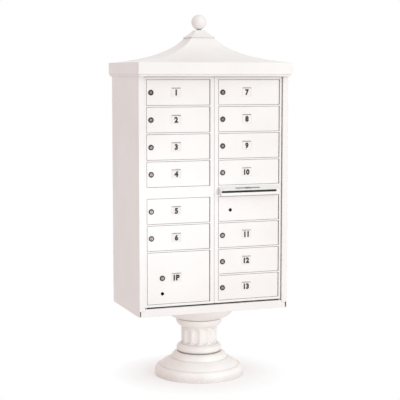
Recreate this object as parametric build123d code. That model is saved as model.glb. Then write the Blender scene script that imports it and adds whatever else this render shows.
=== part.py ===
from build123d import *
import math
import os

# Cluster mailbox unit: a free-standing aluminium cabinet with two master doors, thirteen small
# tenant doors, one parcel door, an outgoing mail panel with a hooded slot, a decorative roof with a
# ball finial, and a round fluted cover around its pedestal.
# Millimetres, +Z up. The front faces -Y. The origin is on the floor under the centre of the pedestal.

# ---- cabinet
CABINET_W = 774.7
CABINET_D = 457.2
CABINET_H = 1219.2
STAND_H = 355.6            # from the floor to the underside of the cabinet
SHEET = 3.2                # wall of the cabinet, the floor pan and the header
POST_W = 28.5              # front flange of each side panel
POST_FOOT = 29.0           # the posts stop this far above the cabinet's underside
POST_RETURN = 12.4         # the posts' inner edge turns this far into the cabinet
REAR_FLANGE_W = 15.0
BEND_R = 2.5               # outer radius of the side panels' front bends
LIP_H = 38.0               # front lip of the floor pan
LIP_INSET = 9.0
SILL_DEPTH = 26.0          # turned-in edges of the floor pan and the header
KEEPER_GAP = 1.2           # room around the latch bar in the header

# ---- roof
ROOF_OVER_X = 7.0          # overhang beyond the cabinet's sides
ROOF_OVER_Y = 31.0         # overhang beyond its front and back
SKIRT_H = 57.0
COLLAR_H = 11.2            # smaller moulding under the skirt
COLLAR_OVER_X = 3.2
COLLAR_OVER_Y = 24.0
EAVE_RISE = 4.8            # top of the skirt above the cabinet's top
ROOF_FIT = 0.5             # room between the roof and the cabinet
ROOF_RISE = 126.0          # from the skirt's top to the roof's flat top
ROOF_TOP_HALF = 57.0
ROOF_BEND_RISE = 26.0      # height of the curves' control point above the skirt's top
ROOF_BEND_X = 130.0        # its distance from the centre, seen from the front
ROOF_BEND_Y = 104.0        # its distance from the centre, seen from the side
ROOF_WALL = 5.0
SOFFIT_T = 3.0             # floor of the skirt's hollow, above the collar
ROOF_LEDGE = 12.0          # width of the ledge that rests on the cabinet's front and back edges
CAP_HALF = 62.0
CAP_LAP = 3.0              # the cap reaches this far below the roof's flat top
CAP_RIM = 3.0
CAP_H = 37.0               # from its lower edge to its flat top
CAP_TOP_HALF = 24.0
BALL_R = 38.0
NECK_R = 9.0
NECK_H = 2.0
FINIAL_FLANGE_R = 17.0
FINIAL_FLANGE_H = 2.0
STUD_R = 5.0
STUD_FIT = 0.3
STUD_L = 60.0

# ---- master doors
DOOR_RECESS = 10.0         # their face stands this far behind the posts' face
JAMB_GAP = 2.8
SEAM = 1.2                 # between the two master doors
HEAD_GAP = 3.75            # above them
FOOT_GAP = 7.0             # below them
HEAD_DROP = 2.2            # the header starts this far above the roof's collar
OUTER_STILE_W = 11.05
INNER_STILE_W = 20.4
MASTER_RAIL_H = 12.4
RAIL_H = 6.75              # rails between doors
BAND_H = 48.0              # extra height of the middle rail
FRAME_DEPTH = 16.0
BAND_PLATE_T = 3.0
PIVOT_INSET = 5.0          # pivot axis from the outer edge and from the face
PIVOT_R = 3.0
PIVOT_SEAT = 12.0          # length of pin inside the stile
COLLAR_PIN_R = 5.0
THRUST_GAP = 0.2

# ---- tenant, parcel and outgoing doors
LEAF_T = 2.0
LEAF_FLANGE = 8.0          # depth of the turned edges, from the face
LEAF_EDGE_R = 0.7
LOCK_GAP = 1.6             # between a door and its frame, on the lock side
HINGE_GAP = 5.2            # the same on the hinge side
DOOR_GAP = 1.5             # above and below a door
HINGE_DEPTH = 4.2          # hinge axis behind the door's face
HINGE_LEAD = 0.5           # hinge axis beyond the door's edge
KNUCKLE_R = 2.4
KNUCKLE_END = 0.6
PIN_R = 1.4
PIN_CLEAR = 0.05           # radial, between a pin and its knuckle
PIN_SEAT_CLEAR = 0.02      # radial, between a pin and its rail
PIN_END_GAP = 0.4          # between two pins' ends in one rail

# ---- locks
LOCK_INSET = 21.0          # lock axis from the door's left edge
PARCEL_LOCK_INSET = 75.6
PARCEL_HOLE_DROP = 76.0    # the carrier's key hole is this far below the parcel lock
OUTGOING_HOLE_INSET = 61.6
OUTGOING_HOLE_DROP = 6.0    # below the middle of the outgoing door
KEY_HOLE_R = 8.5
BARREL_R = 9.3
BEZEL_R = BARREL_R + 4.0
BEZEL_T = 2.6
BEZEL_CHAMFER = 1.2
BARREL_FIT = 0.3
BARREL_L = 16.5            # behind the door's face
PLUG_R = 6.8
PLUG_CLEAR = 0.05
PLUG_SINK = 0.5            # plug face below the bezel's face
PLUG_STEP = 0.7            # plug's end beyond the barrel
KEYWAY_W = 1.8
KEYWAY_H = 8.0
KEYWAY_DEPTH = 9.0
NUT_FLATS = 2 * BARREL_R + 3.4
NUT_T = 3.0
CAM_W = 12.0
CAM_T = 2.0
CAM_REACH = 31.0
CAM_SCREW_R = 4.0
CAM_SCREW_T = 2.2
STRIKE_H = 24.0            # strike tab for the parcel lock's cam
STRIKE_T = 3.0
STRIKE_BACK = 1.0          # strike tab ahead of the frame's back
STRIKE_SHORT = 20.0        # strike tab stops this far from the lock axis

# ---- outgoing mail slot
HOOD_PROUD = 30.0          # beyond the posts' face
HOOD_LEFT_INSET = 0.8       # hood's left end inside the column's opening
HOOD_RIGHT_INSET = 10.8
HOOD_T = 3.0
HOOD_NOSE_H = 15.0         # height of its front face
SLOT_H = 7.0
SLOT_SHORT = 19.0          # slot stops this far from the hood's right cheek
WINDOW_INSET = 17.0        # window behind the hood, from the column's opening
FLAP_ROD_R = 2.0
FLAP_CLEAR = 0.05
FLAP_T = 1.2
FLAP_H = 34.0
FLAP_DROP = 5.0            # flap axis below the upper rail
FLAP_BACK = 3.5            # flap axis behind the band plates
FLAP_END_GAP = 1.0
EAR_T = 5.0
EAR_SIZE = 9.0

# ---- latch bar of the right master door
LATCH_W = 6.0
LATCH_T = 4.0
LATCH_INSET = 2.4          # from the stile's free edge
LATCH_GAP = 0.4            # behind the frame
LATCH_SHORT = 1.0          # bar's ends inside the frame's ends at rest
TAB_H = 18.0
TAB_REACH = 24.0
STRAP_T = 1.4
STRAP_H = 6.0

# ---- compartment rack
RACK_T = 2.0
RACK_SIDE_GAP = 1.0        # walls outside the door openings
RACK_FRONT = 26.6          # rack's front edge behind the master doors' face
RACK_BACK_GAP = 2.2

# ---- pedestal and its cover
BASE_W = 304.8
BASE_T = 9.5
ANCHOR_PITCH = 254.0
ANCHOR_HOLE_R = 7.15
TUBE_W = 101.6
TUBE_WALL = 4.8
TOP_PLATE_W = 241.3
TOP_PLATE_T = 6.35
COVER_TOP_GAP = 0.6
COVER_WALL = 5.0
PLINTH_R = 226.0
PLINTH_H = 50.0
PLINTH_TOP_R = 206.0
SECOND_H = 34.0            # second moulding
WAIST_R = 150.0            # top of the second moulding
THIRD_H = 33.0             # third moulding
TORUS_H = 40.0
COLUMN_R = 90.5
COLUMN_H = 92.0
ECHINUS_H = 40.0
FLARE_R = 184.0
TORUS_PROUD = 24.5         # beyond the column
ECHINUS_PROUD = 26.5
FLUTE_COUNT = 12
FLUTE_SPAN = 24.0          # degrees
FLUTE_DEPTH = 6.5
FLUTE_END = 6.0            # plain ring left above and below the flutes

# ---- worked out from the sizes above
FRONT_Y = -CABINET_D / 2
FACE_Y = FRONT_Y + DOOR_RECESS
BASE_Z = STAND_H
TOP_Z = BASE_Z + CABINET_H
SKIRT_Z1 = TOP_Z + EAVE_RISE
COLLAR_Z0 = SKIRT_Z1 - SKIRT_H - COLLAR_H
HEADER_Z0 = COLLAR_Z0 + HEAD_DROP
LIP_Z1 = BASE_Z + LIP_H
MASTER_Z0 = LIP_Z1 + FOOT_GAP
MASTER_Z1 = HEADER_Z0 - HEAD_GAP
MASTER_H = MASTER_Z1 - MASTER_Z0
ROWS = 8
ROWS_BELOW_BAND = 4
ROW_PITCH = (MASTER_H - 2 * MASTER_RAIL_H + RAIL_H - BAND_H) / ROWS
POST_EDGE_X = CABINET_W / 2 - POST_W
STILE_EDGE_X = POST_EDGE_X - JAMB_GAP
OPENING_FAR_X = STILE_EDGE_X - OUTER_STILE_W
OPENING_NEAR_X = SEAM / 2 + INNER_STILE_W
OPENING_W = OPENING_FAR_X - OPENING_NEAR_X
DOOR_W = OPENING_W - LOCK_GAP - HINGE_GAP
COLUMN_X0 = {"left": -OPENING_FAR_X, "right": OPENING_NEAR_X}
HINGE_X = {side: x0 + LOCK_GAP + DOOR_W + HINGE_LEAD for side, x0 in COLUMN_X0.items()}
HINGE_Y = FACE_Y + HINGE_DEPTH
PIVOT_X = STILE_EDGE_X - PIVOT_INSET
PIVOT_Y = FACE_Y + PIVOT_INSET
CAM_Y0 = FACE_Y + BARREL_L + PLUG_STEP
RACK_Y0 = FACE_Y + RACK_FRONT
RACK_Y1 = CABINET_D / 2 - 2 * SHEET - RACK_BACK_GAP
PIN_SEAT = (RAIL_H - PIN_END_GAP) / 2

# name: (column, lowest row, rows high); row 0 is the lowest
DOORS = {
    "tenant_door_1": ("left", 7, 1),
    "tenant_door_2": ("left", 6, 1),
    "tenant_door_3": ("left", 5, 1),
    "tenant_door_4": ("left", 4, 1),
    "tenant_door_5": ("left", 3, 1),
    "tenant_door_6": ("left", 2, 1),
    "parcel_door": ("left", 0, 2),
    "tenant_door_7": ("right", 7, 1),
    "tenant_door_8": ("right", 6, 1),
    "tenant_door_9": ("right", 5, 1),
    "tenant_door_10": ("right", 4, 1),
    "outgoing_door": ("right", 3, 1),
    "tenant_door_11": ("right", 2, 1),
    "tenant_door_12": ("right", 1, 1),
    "tenant_door_13": ("right", 0, 1),
}


def rail_z(row, above=False):
    """Height of the middle of the rail below a row, or above it. The wide middle rail gives two."""
    line = row + 1 if above else row
    z = MASTER_Z0 + MASTER_RAIL_H - RAIL_H / 2 + line * ROW_PITCH
    past_band = line > ROWS_BELOW_BAND or (line == ROWS_BELOW_BAND and not above)
    return z + (BAND_H if past_band else 0.0)


def opening_of(name):
    """Left edge, foot and height of the opening that a door closes."""
    column, row, high = DOORS[name]
    z0 = rail_z(row) + RAIL_H / 2
    z1 = rail_z(row + high - 1, above=True) - RAIL_H / 2
    return COLUMN_X0[column], z0, z1 - z0


def lock_of(name):
    """The lock's axis on a door: x and z."""
    x0, z0, height = opening_of(name)
    inset = PARCEL_LOCK_INSET if name == "parcel_door" else LOCK_INSET
    return x0 + LOCK_GAP + inset, z0 + height / 2


BAND_Z0 = rail_z(ROWS_BELOW_BAND - 1, above=True) + RAIL_H / 2
BAND_Z1 = rail_z(ROWS_BELOW_BAND) - RAIL_H / 2
FLAP_Y = FACE_Y + BAND_PLATE_T + FLAP_BACK
FLAP_Z = BAND_Z1 - FLAP_DROP
HOOD_Z0 = BAND_Z0
HOOD_X0 = OPENING_NEAR_X + HOOD_LEFT_INSET
HOOD_X1 = OPENING_FAR_X - HOOD_RIGHT_INSET
HOOD_Y0 = FRONT_Y - HOOD_PROUD
HOOD_NOSE_Z1 = HOOD_Z0 + HOOD_NOSE_H + SLOT_H


def block(x0, x1, y0, y1, z0, z1):
    """A box from its low corner to its high corner."""
    return Pos((x0 + x1) / 2, (y0 + y1) / 2, (z0 + z1) / 2) * Box(x1 - x0, y1 - y0, z1 - z0)


def upright(x, y, z0, z1, radius):
    """A vertical cylinder."""
    return Pos(x, y, (z0 + z1) / 2) * Cylinder(radius, z1 - z0)


def along_y(x, z, y0, y1, radius):
    """A cylinder that runs front to back."""
    return Pos(x, (y0 + y1) / 2, z) * Rot(90, 0, 0) * Cylinder(radius, y1 - y0)


def along_x(y, z, x0, x1, radius):
    """A cylinder that runs left to right."""
    return Pos((x0 + x1) / 2, y, z) * Rot(0, 90, 0) * Cylinder(radius, x1 - x0)


def save(name, *pieces):
    """Writes one sub-part, as one solid or as a group of separate solids."""
    solids = [s for piece in pieces for s in piece.solids()]
    export_step(solids[0] if len(solids) == 1 else Compound(children=solids), f"parts/{name}.step")
    print(name, len(solids), "solids", round(sum(s.volume for s in solids)), "mm3")


# ---- cabinet ----

def side_panel(sign):
    """Side sheet bent round the front into a post with a turned-in edge, and a flange at the back."""
    half = CABINET_W / 2
    back = CABINET_D / 2
    sheet = block(half - SHEET, half, FRONT_Y, back, BASE_Z, TOP_Z)
    post = block(POST_EDGE_X, half, FRONT_Y, FRONT_Y + SHEET, BASE_Z + POST_FOOT, TOP_Z)
    edge = block(POST_EDGE_X, POST_EDGE_X + SHEET, FRONT_Y, FRONT_Y + SHEET + POST_RETURN, LIP_Z1, TOP_Z)
    rear = block(half - REAR_FLANGE_W, half, back - SHEET, back, BASE_Z, TOP_Z)
    panel = sheet + post + edge + rear
    bends = panel.edges().filter_by(Axis.Z).filter_by(lambda e: abs(e.center().X - half) < 0.01)
    panel = fillet(bends, BEND_R)
    return panel if sign > 0 else mirror(panel, about=Plane.YZ)


def header():
    """Strip above the master doors. Its turned-in edge holds the pivots and is notched for the latch."""
    y0 = FRONT_Y + SHEET
    y1 = y0 + SHEET
    y2 = y1 + SILL_DEPTH
    z1 = HEADER_Z0 + SHEET
    latch_x, latch_y = latch_corner()
    notch_x0 = latch_x - KEEPER_GAP
    notch_x1 = latch_x + LATCH_W + KEEPER_GAP
    strips = [
        block(-POST_EDGE_X, POST_EDGE_X, y0, y1, HEADER_Z0, TOP_Z - SHEET),
        block(notch_x0, notch_x1, y1, latch_y - KEEPER_GAP, HEADER_Z0, z1),
    ]
    for x0, x1, pivot_x in ((-POST_EDGE_X, notch_x0, -PIVOT_X), (notch_x1, POST_EDGE_X, PIVOT_X)):
        edge = block(x0, x1, y1, y2, HEADER_Z0, z1)
        strips.append(edge - upright(pivot_x, PIVOT_Y, HEADER_Z0 - 1, z1 + 1, PIVOT_R))
    return strips


def cabinet_shell():
    """Welded shell: two side panels, back sheet, top sheet and header."""
    inner = CABINET_W / 2 - SHEET
    back = CABINET_D / 2 - SHEET
    rear = block(-inner, inner, back - SHEET, back, BASE_Z, TOP_Z - SHEET)
    top = block(-inner, inner, FRONT_Y + SHEET, back, TOP_Z - SHEET, TOP_Z)
    for sign in (-1, 1):
        x0, x1 = sorted((sign * POST_EDGE_X, sign * (POST_EDGE_X + SHEET)))
        top -= block(x0, x1, FRONT_Y + SHEET, FRONT_Y + SHEET + POST_RETURN, TOP_Z - SHEET - 1, TOP_Z + 1)
    save("cabinet_shell", side_panel(-1), side_panel(1), rear, top, *header())


def floor_pan():
    """Bottom sheet whose front edge turns up into a lip and then in, as a sill under the doors."""
    inner = CABINET_W / 2 - SHEET
    y0 = FRONT_Y + SHEET
    x1 = CABINET_W / 2 - LIP_INSET
    pan = block(-inner, inner, y0, CABINET_D / 2 - 2 * SHEET, BASE_Z, BASE_Z + SHEET)
    pan += block(-x1, x1, y0, y0 + SHEET, BASE_Z, LIP_Z1)
    pan += block(-x1, x1, y0, y0 + SILL_DEPTH + SHEET, LIP_Z1 - SHEET, LIP_Z1)
    for sign in (-1, 1):
        pan -= upright(sign * PIVOT_X, PIVOT_Y, LIP_Z1 - SHEET - 1, LIP_Z1 + 1, PIVOT_R)
    save("floor_pan", pan)


def compartment_rack():
    """Welded rack: four upright walls on the floor pan, a shelf at each rail, and two backs."""
    plates = []
    z0 = BASE_Z + SHEET
    z1 = rail_z(ROWS - 1, above=True) + RACK_T / 2
    for sign in (-1, 1):
        near = sign * (OPENING_NEAR_X - RACK_SIDE_GAP)
        far = sign * (OPENING_FAR_X + RACK_SIDE_GAP)
        for x, step in ((near, -sign * RACK_T), (far, sign * RACK_T)):
            plates.append(block(min(x, x + step), max(x, x + step), RACK_Y0, RACK_Y1, z0, z1))
        x0, x1 = sorted((near, far))
        plates.append(block(x0, x1, RACK_Y1 - RACK_T, RACK_Y1, rail_z(0) - RACK_T / 2, z1))
    for column, x0 in COLUMN_X0.items():
        heights = {rail_z(0), rail_z(ROWS - 1, above=True), *rail_lines(column)}
        if column == "right":
            heights.discard(rail_z(ROWS_BELOW_BAND - 1, above=True))
        for z in sorted(heights):
            plates.append(block(x0 - RACK_SIDE_GAP, x0 + OPENING_W + RACK_SIDE_GAP, RACK_Y0, RACK_Y1 - RACK_T,
                                z - RACK_T / 2, z + RACK_T / 2))
    save("compartment_rack", *plates)


# ---- roof ----

def swept_profile(half0, z0, bend, bend_z, half1, z1, foot_z):
    """Outline, in one upright plane, of a concave roof over a straight foot."""
    right = Bezier((half0, z0), (bend, bend_z), (half1, z1))
    left = Bezier((-half1, z1), (-bend, bend_z), (-half0, z0))
    rest = Polyline((-half0, z0), (-half0, foot_z), (half0, foot_z), (half0, z0))
    return make_face(Curve() + [right, Line((half1, z1), (-half1, z1)), left, rest])


def crossed(profile_x, profile_y, reach):
    """Solid common to one profile pulled along Y and another pulled along X, so that hips form."""
    front = extrude(Plane.XZ * profile_x, reach, both=True)
    side = extrude(Plane.YZ * profile_y, reach, both=True)
    return front & side


def pagoda(inset, drop, foot_z, base_z):
    """The roof's outer shape, or its hollow when it is moved in by an inset and down by a drop."""
    half_x = CABINET_W / 2 + ROOF_OVER_X - inset
    half_y = CABINET_D / 2 + ROOF_OVER_Y - inset
    bend_z = base_z + ROOF_BEND_RISE
    top_z = SKIRT_Z1 + ROOF_RISE - drop
    wall = drop
    front = swept_profile(half_x, base_z, ROOF_BEND_X - wall, bend_z, ROOF_TOP_HALF - wall, top_z, foot_z)
    side = swept_profile(half_y, base_z, ROOF_BEND_Y - wall, bend_z, ROOF_TOP_HALF - wall, top_z, foot_z)
    return crossed(front, side, CABINET_W)


def roof():
    """Skirt, collar and concave hipped top in one shell, with a ledge that rests on the cabinet."""
    half_x = CABINET_W / 2
    half_y = CABINET_D / 2
    shell = pagoda(0.0, 0.0, SKIRT_Z1 - SKIRT_H, SKIRT_Z1)
    x1 = half_x + COLLAR_OVER_X
    y1 = half_y + COLLAR_OVER_Y
    shell += block(-x1, x1, -y1, y1, COLLAR_Z0, SKIRT_Z1 - SKIRT_H)
    shell -= block(-half_x - ROOF_FIT, half_x + ROOF_FIT, -half_y - ROOF_FIT, half_y + ROOF_FIT,
                   COLLAR_Z0 - 1, TOP_Z)
    hollow_y = half_y + ROOF_OVER_Y - ROOF_WALL
    shell -= block(-half_x - ROOF_FIT, half_x + ROOF_FIT, -hollow_y, hollow_y,
                   SKIRT_Z1 - SKIRT_H + SOFFIT_T, TOP_Z)
    shell -= pagoda(ROOF_LEDGE + ROOF_OVER_Y, ROOF_WALL, TOP_Z - 1, TOP_Z)
    shell -= upright(0, 0, SKIRT_Z1, SKIRT_Z1 + ROOF_RISE + 1, STUD_R + STUD_FIT)
    save("roof", shell)


def roof_cap():
    """Small concave cap over the roof's flat top, with a rim that laps round it."""
    z0 = SKIRT_Z1 + ROOF_RISE - CAP_LAP
    eave = z0 + CAP_RIM + 1
    z1 = z0 + CAP_H
    bend = (CAP_HALF + CAP_TOP_HALF) / 2 - 3
    face = swept_profile(CAP_HALF, eave, bend, eave + (z1 - eave) * 0.38, CAP_TOP_HALF, z1, z0)
    cap = crossed(face, face, CAP_HALF * 2)
    half = CAP_HALF - CAP_RIM
    cap -= block(-half, half, -half, half, z0 - 1, z0 + CAP_LAP)
    cap -= upright(0, 0, z0, z1 + 1, STUD_R + STUD_FIT)
    save("roof_cap", cap)


def finial():
    """Ball on a short neck, with a stud that runs down through the cap and the roof."""
    z0 = SKIRT_Z1 + ROOF_RISE - CAP_LAP + CAP_H
    ball_z = z0 + FINIAL_FLANGE_H + NECK_H + math.sqrt(BALL_R ** 2 - NECK_R ** 2)
    knob = Pos(0, 0, ball_z) * Sphere(BALL_R)
    knob += upright(0, 0, z0, ball_z, NECK_R)
    knob += upright(0, 0, z0, z0 + FINIAL_FLANGE_H, FINIAL_FLANGE_R)
    knob += upright(0, 0, z0 - STUD_L, z0, STUD_R)
    save("finial", knob)


# ---- master doors ----

def rail_lines(column):
    """Heights of the thin rails in one column."""
    edges = []
    for name, (side, row, high) in DOORS.items():
        if side == column:
            edges += [rail_z(row), rail_z(row + high - 1, above=True)]
    lowest, highest = rail_z(0), rail_z(ROWS - 1, above=True)
    return sorted({z for z in edges if lowest + 1 < z < highest - 1})


def master_frame(column):
    """Bars of one master door: two stiles, top and bottom rails, and the rails between the doors."""
    sign = -1 if column == "left" else 1
    y1 = FACE_Y + FRAME_DEPTH
    x0 = COLUMN_X0[column]
    x1 = x0 + OPENING_W
    outer = sorted((sign * OPENING_FAR_X, sign * STILE_EDGE_X))
    inner = sorted((sign * SEAM / 2, sign * OPENING_NEAR_X))
    outer_stile = block(*outer, FACE_Y, y1, MASTER_Z0, MASTER_Z1)
    for z in (MASTER_Z0, MASTER_Z1):
        outer_stile -= upright(sign * PIVOT_X, PIVOT_Y, z - PIVOT_SEAT - THRUST_GAP,
                               z + PIVOT_SEAT + THRUST_GAP, PIVOT_R + PIN_CLEAR)
    bars = [outer_stile, block(*inner, FACE_Y, y1, MASTER_Z0, MASTER_Z1)]
    rails = [(MASTER_Z0, MASTER_Z0 + MASTER_RAIL_H), (MASTER_Z1 - MASTER_RAIL_H, MASTER_Z1)]
    rails += [(z - RAIL_H / 2, z + RAIL_H / 2) for z in rail_lines(column)]
    hinge = (HINGE_X[column], HINGE_Y)
    for z0, z1 in rails:
        rail = block(x0, x1, FACE_Y, y1, z0, z1)
        bars.append(rail - upright(*hinge, z0 - 1, z1 + 1, PIN_R + PIN_SEAT_CLEAR))
    if column == "left":
        bars.append(block(x0, x1, FACE_Y, FACE_Y + BAND_PLATE_T, BAND_Z0, BAND_Z1))
        bars.append(parcel_strike())
    else:
        bars += slot_plates() + flap_ears() + latch_straps()
    save(f"{column}_master_frame", *bars)


def parcel_strike():
    """Tab on the outer stile that the parcel lock's cam turns behind."""
    lock_x, lock_z = lock_of("parcel_door")
    y1 = FACE_Y + FRAME_DEPTH - STRIKE_BACK
    return block(-OPENING_FAR_X, lock_x - STRIKE_SHORT, y1 - STRIKE_T, y1,
                 lock_z - STRIKE_H / 2, lock_z + STRIKE_H / 2)


def slot_plates():
    """Plates at each end of the window behind the hood."""
    y1 = FACE_Y + BAND_PLATE_T
    return [
        block(OPENING_NEAR_X, OPENING_NEAR_X + WINDOW_INSET, FACE_Y, y1, BAND_Z0, BAND_Z1),
        block(OPENING_FAR_X - WINDOW_INSET, OPENING_FAR_X, FACE_Y, y1, BAND_Z0, BAND_Z1),
    ]


def flap_ears():
    """Bored blocks behind those plates, which hold the flap's rod."""
    ears = []
    y0 = FACE_Y + BAND_PLATE_T
    for x0 in (OPENING_NEAR_X + WINDOW_INSET - EAR_T, OPENING_FAR_X - WINDOW_INSET):
        ear = block(x0, x0 + EAR_T, y0, y0 + EAR_SIZE, BAND_Z1 - EAR_SIZE, BAND_Z1)
        ears.append(ear - along_x(FLAP_Y, FLAP_Z, x0 - 1, x0 + EAR_T + 1, FLAP_ROD_R + FLAP_CLEAR))
    return ears


def latch_corner():
    """Low x and low y of the latch bar's section."""
    return SEAM / 2 + LATCH_INSET, FACE_Y + FRAME_DEPTH + LATCH_GAP


def latch_straps():
    """Straps that hold the latch bar against the inner stile, near its ends."""
    x0, y0 = latch_corner()
    x1 = x0 + LATCH_W
    back = y0 + LATCH_T + LATCH_GAP
    frame_back = FACE_Y + FRAME_DEPTH
    straps = []
    for row in (1, ROWS - 2):
        z0 = rail_z(row) - STRAP_H / 2
        strap = block(x0 - LATCH_GAP - STRAP_T, x1 + LATCH_GAP + STRAP_T, frame_back, back + STRAP_T,
                      z0, z0 + STRAP_H)
        straps.append(strap - block(x0 - LATCH_GAP, x1 + LATCH_GAP, frame_back - 1, back, z0 - 1,
                                    z0 + STRAP_H + 1))
    return straps


def latch_bar():
    """Flat bar behind the right master door's free stile; raised, its end enters the header."""
    x0, y0 = latch_corner()
    bar = block(x0, x0 + LATCH_W, y0, y0 + LATCH_T, MASTER_Z0 + LATCH_SHORT, MASTER_Z1 - LATCH_SHORT)
    x, z0, height = opening_of("outgoing_door")
    tab_z = z0 + height / 2
    bar += block(x0, x0 + LATCH_W + TAB_REACH, y0, y0 + LATCH_T, tab_z - TAB_H / 2, tab_z + TAB_H / 2)
    save("latch_bar", bar)


def master_hinge_pins():
    """Four pivots: a pin in the stile, a collar outside it, and a shank in the sill or the header."""
    pins = []
    for sign in (-1, 1):
        x = sign * PIVOT_X
        low = upright(x, PIVOT_Y, LIP_Z1 - SHEET, MASTER_Z0 + PIVOT_SEAT, PIVOT_R)
        low += upright(x, PIVOT_Y, LIP_Z1, MASTER_Z0 - THRUST_GAP, COLLAR_PIN_R)
        high = upright(x, PIVOT_Y, MASTER_Z1 - PIVOT_SEAT, HEADER_Z0 + SHEET, PIVOT_R)
        high += upright(x, PIVOT_Y, MASTER_Z1 + THRUST_GAP, HEADER_Z0, COLLAR_PIN_R)
        pins += [low, high]
    save("master_hinge_pins", *pins)


def door_pins(column):
    """One pin for each door of a column, from the rail below it to the rail above it."""
    pins = []
    for name, (side, row, high) in DOORS.items():
        if side == column:
            x0, z0, height = opening_of(name)
            pins.append(upright(HINGE_X[column], HINGE_Y, z0 - PIN_SEAT, z0 + height + PIN_SEAT, PIN_R))
    save(f"{column}_door_pins", *pins)


# ---- doors and locks ----

def door_leaf(name):
    """Door pan with turned edges and a rolled knuckle along its right side."""
    x0, opening_z, opening_h = opening_of(name)
    x0 += LOCK_GAP
    x1 = x0 + DOOR_W
    z0 = opening_z + DOOR_GAP
    z1 = opening_z + opening_h - DOOR_GAP
    panel = block(x0, x1, FACE_Y, FACE_Y + LEAF_T, z0, z1)
    panel = fillet(panel.faces().sort_by(Axis.Y)[0].edges(), LEAF_EDGE_R)
    y1 = FACE_Y + LEAF_FLANGE
    short = x1 - 3 * KNUCKLE_R
    panel += block(x0, x0 + LEAF_T, FACE_Y + LEAF_EDGE_R, y1, z0, z1)
    panel += block(x0, short, FACE_Y + LEAF_EDGE_R, y1, z0, z0 + LEAF_T)
    panel += block(x0, short, FACE_Y + LEAF_EDGE_R, y1, z1 - LEAF_T, z1)
    knuckle_z0 = z0 + KNUCKLE_END
    knuckle_z1 = z1 - KNUCKLE_END
    hinge_x = x1 + HINGE_LEAD
    panel += upright(hinge_x, HINGE_Y, knuckle_z0, knuckle_z1, KNUCKLE_R)
    panel += block(hinge_x - 2 * KNUCKLE_R, hinge_x, FACE_Y + LEAF_T / 2, HINGE_Y, knuckle_z0, knuckle_z1)
    return panel - upright(hinge_x, HINGE_Y, z0 - 1, z1 + 1, PIN_R + PIN_CLEAR)


def door(name):
    """A door leaf with the holes it needs for its lock and for the carrier's key."""
    leaf = door_leaf(name)
    lock_x, lock_z = lock_of(name)
    through = (FACE_Y - 1, FACE_Y + LEAF_T + 1)
    if name != "outgoing_door":
        leaf -= along_y(lock_x, lock_z, *through, BARREL_R + BARREL_FIT)
    if name == "parcel_door":
        leaf -= along_y(lock_x, lock_z - PARCEL_HOLE_DROP, *through, KEY_HOLE_R)
    if name == "outgoing_door":
        hole_x = lock_x - LOCK_INSET + OUTGOING_HOLE_INSET
        leaf -= along_y(hole_x, lock_z - OUTGOING_HOLE_DROP, *through, KEY_HOLE_R)
    save(name, leaf)


def lock_housing(name, x, z):
    """Flanged barrel through the door, held by a flat hexagonal nut."""
    bezel = along_y(x, z, FACE_Y - BEZEL_T, FACE_Y, BEZEL_R)
    bezel = chamfer(bezel.faces().sort_by(Axis.Y)[0].edges(), BEZEL_CHAMFER)
    body = bezel + along_y(x, z, FACE_Y, FACE_Y + BARREL_L, BARREL_R)
    body -= along_y(x, z, FACE_Y - BEZEL_T - 1, FACE_Y + BARREL_L + 1, PLUG_R + PLUG_CLEAR)
    hexagon = RegularPolygon(NUT_FLATS / 2, 6, major_radius=False)
    nut_plane = Plane(origin=(x, FACE_Y + LEAF_T + NUT_T, z), x_dir=(1, 0, 0), z_dir=(0, -1, 0))
    nut = extrude(nut_plane * hexagon, NUT_T)
    nut -= along_y(x, z, FACE_Y, FACE_Y + LEAF_T + NUT_T + 1, BARREL_R)
    save(name, body, nut)


def lock_cam(name, x, z):
    """Keyed plug, its cam hanging down in the unlocked position, and the screw that holds the cam."""
    face = FACE_Y - BEZEL_T + PLUG_SINK
    plug = along_y(x, z, face, CAM_Y0, PLUG_R)
    plug -= block(x - KEYWAY_W / 2, x + KEYWAY_W / 2, face - 1, face + KEYWAY_DEPTH,
                  z - KEYWAY_H / 2, z + KEYWAY_H / 2)
    cam_y1 = CAM_Y0 + CAM_T
    cam = along_y(x, z, CAM_Y0, cam_y1, CAM_W / 2)
    cam += block(x - CAM_W / 2, x + CAM_W / 2, CAM_Y0, cam_y1, z - CAM_REACH + CAM_W / 2, z)
    cam += along_y(x, z - CAM_REACH + CAM_W / 2, CAM_Y0, cam_y1, CAM_W / 2)
    screw = along_y(x, z, cam_y1, cam_y1 + CAM_SCREW_T, CAM_SCREW_R)
    save(name, plug, cam, screw)


# ---- outgoing mail slot ----

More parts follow.
